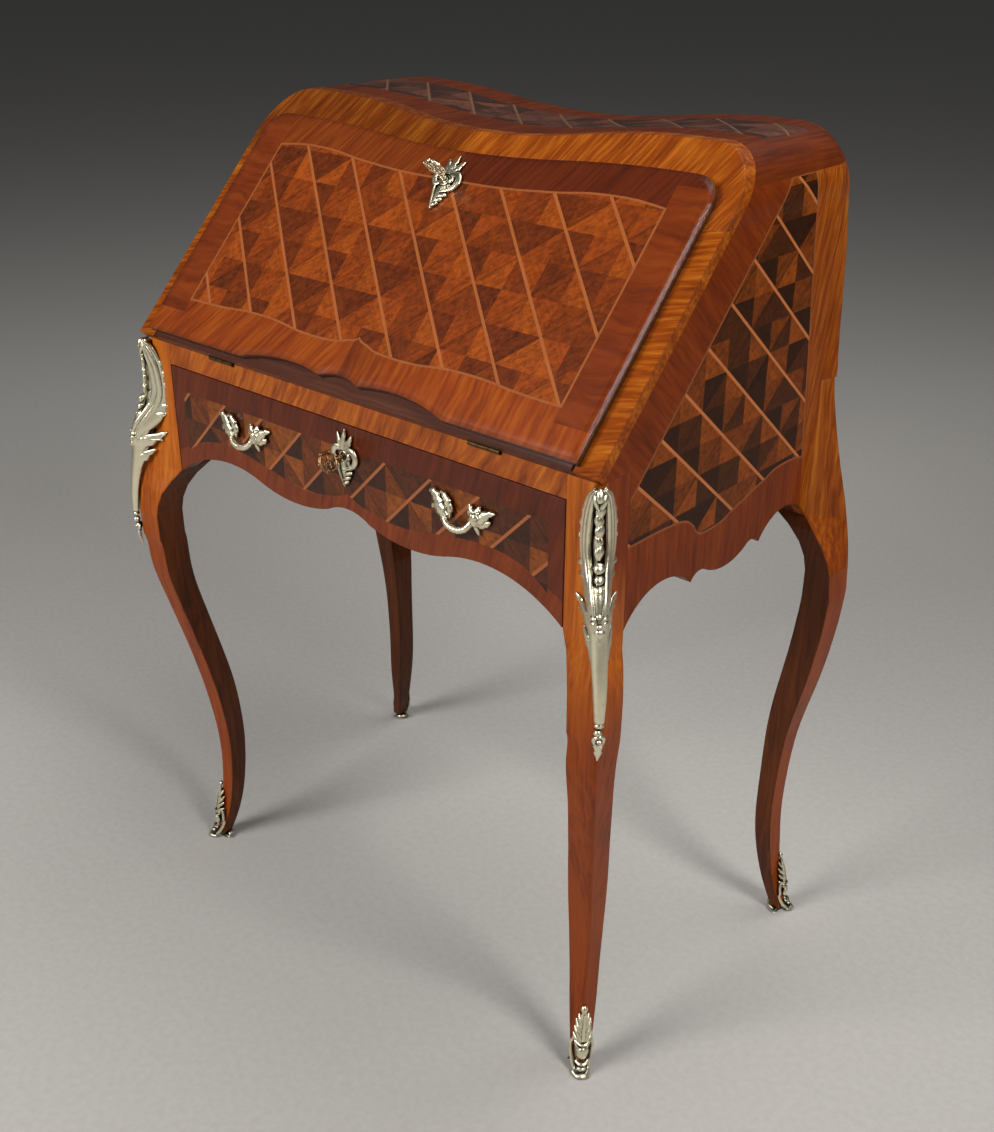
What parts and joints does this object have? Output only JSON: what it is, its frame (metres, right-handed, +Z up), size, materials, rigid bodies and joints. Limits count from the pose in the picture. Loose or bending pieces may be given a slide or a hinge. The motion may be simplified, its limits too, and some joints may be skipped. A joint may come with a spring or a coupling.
{
  "type": "ladies desk",
  "caption": "Slant-front ladies writing desk on cabriole legs, with a fall-front lid, an apron drawer, fitted interior drawers and gilt bronze mounts.",
  "frame": {"origin": "on the floor, at the middle of the desk's overall width and depth", "axes": "+X to the sitter's right as they face the desk, +Y from the front to the back, +Z up"},
  "size_m": [0.76, 0.4621, 0.991],
  "materials": {
    "parquetry": "french polish",
    "lining_wood": "satin polish",
    "gilt_bronze": "gilt, burnished",
    "lock_brass": "satin",
    "tooled_leather": "matt"
  },
  "bodies": {
    "carcass": {"side_panel_left": "parquetry", "side_panel_right": "parquetry", "side_apron_left": "parquetry", "side_apron_right": "parquetry", "top_board": "parquetry", "back_panel": "lining_wood", "front_rail": "parquetry", "writing_bed": "lining_wood", "drawer_runner_left": "lining_wood", "drawer_runner_right": "lining_wood", "leg_front_left": "parquetry", "leg_front_right": "parquetry", "leg_back_left": "parquetry", "leg_back_right": "parquetry", "sabot_front_left": "gilt_bronze", "sabot_front_right": "gilt_bronze", "sabot_back_left": "gilt_bronze", "sabot_back_right": "gilt_bronze", "chute_left": "gilt_bronze", "chute_right": "gilt_bronze", "hinge_bed_leaf_left": "lock_brass", "hinge_bed_leaf_right": "lock_brass", "gallery_shelf": "lining_wood", "gallery_drawer_partition": "lining_wood", "gallery_partition_left": "lining_wood", "gallery_partition_right": "lining_wood"},
    "lid": {"lid_panel": "lining_wood", "lid_face": "parquetry", "lid_leather": "tooled_leather", "hinge_lid_leaf_left": "lock_brass", "hinge_lid_leaf_right": "lock_brass", "lid_lock_case": "lock_brass", "lid_escutcheon": "gilt_bronze"},
    "lid_key": {"lid_key": "gilt_bronze"},
    "lid_bolt": {"lid_bolt": "lock_brass"},
    "drawer": {"drawer_front": "parquetry", "drawer_side_left": "lining_wood", "drawer_side_right": "lining_wood", "drawer_back": "lining_wood", "drawer_bottom": "lining_wood", "drawer_lock_case": "lock_brass", "drawer_escutcheon": "gilt_bronze", "handle_left": "gilt_bronze", "handle_right": "gilt_bronze"},
    "drawer_key": {"drawer_key": "gilt_bronze"},
    "drawer_bolt": {"drawer_bolt": "lock_brass"},
    "small_drawer_left": {"small_front_left": "lining_wood", "small_side_inner_left": "lining_wood", "small_side_outer_left": "lining_wood", "small_back_left": "lining_wood", "small_bottom_left": "lining_wood", "small_knob_left": "gilt_bronze"},
    "small_drawer_right": {"small_front_right": "lining_wood", "small_side_inner_right": "lining_wood", "small_side_outer_right": "lining_wood", "small_back_right": "lining_wood", "small_bottom_right": "lining_wood", "small_knob_right": "gilt_bronze"}
  },
  "joints": [
    {"name": "lid_hinge", "type": "hinge", "parent": "carcass", "child": "lid", "pos_m": [0, -0.1952, 0.731], "axis": [1, 0, 0], "range_deg": [0, 133.8]},
    {"name": "lid_key_turn", "type": "hinge", "parent": "lid", "child": "lid_key", "pos_m": [0, -0.0194, 0.91433], "axis": [0, -0.7218, 0.6921], "range_deg": [0, 180]},
    {"name": "lid_bolt_slide", "type": "slide", "parent": "lid", "child": "lid_bolt", "axis": [0, 0.6921, 0.7218], "range_m": [0, 0.005]},
    {"name": "drawer_slide", "type": "slide", "parent": "carcass", "child": "drawer", "axis": [0, -1, 0], "range_m": [0, 0.2]},
    {"name": "drawer_key_turn", "type": "hinge", "parent": "drawer", "child": "drawer_key", "pos_m": [0, -0.1939, 0.67], "axis": [0, -1, 0], "range_deg": [0, 180]},
    {"name": "drawer_bolt_slide", "type": "slide", "parent": "drawer", "child": "drawer_bolt", "axis": [0, 0, 1], "range_m": [0, 0.005]},
    {"name": "small_drawer_left_slide", "type": "slide", "parent": "carcass", "child": "small_drawer_left", "axis": [0, -1, 0], "range_m": [0, 0.11]},
    {"name": "small_drawer_right_slide", "type": "slide", "parent": "carcass", "child": "small_drawer_right", "axis": [0, -1, 0], "range_m": [0, 0.11]}
  ],
  "couplings": [
    {"joint": "lid_bolt_slide", "follows": "lid_key_turn", "m_per_rad": 0.0015915},
    {"joint": "drawer_bolt_slide", "follows": "drawer_key_turn", "m_per_rad": 0.0015915}
  ]
}
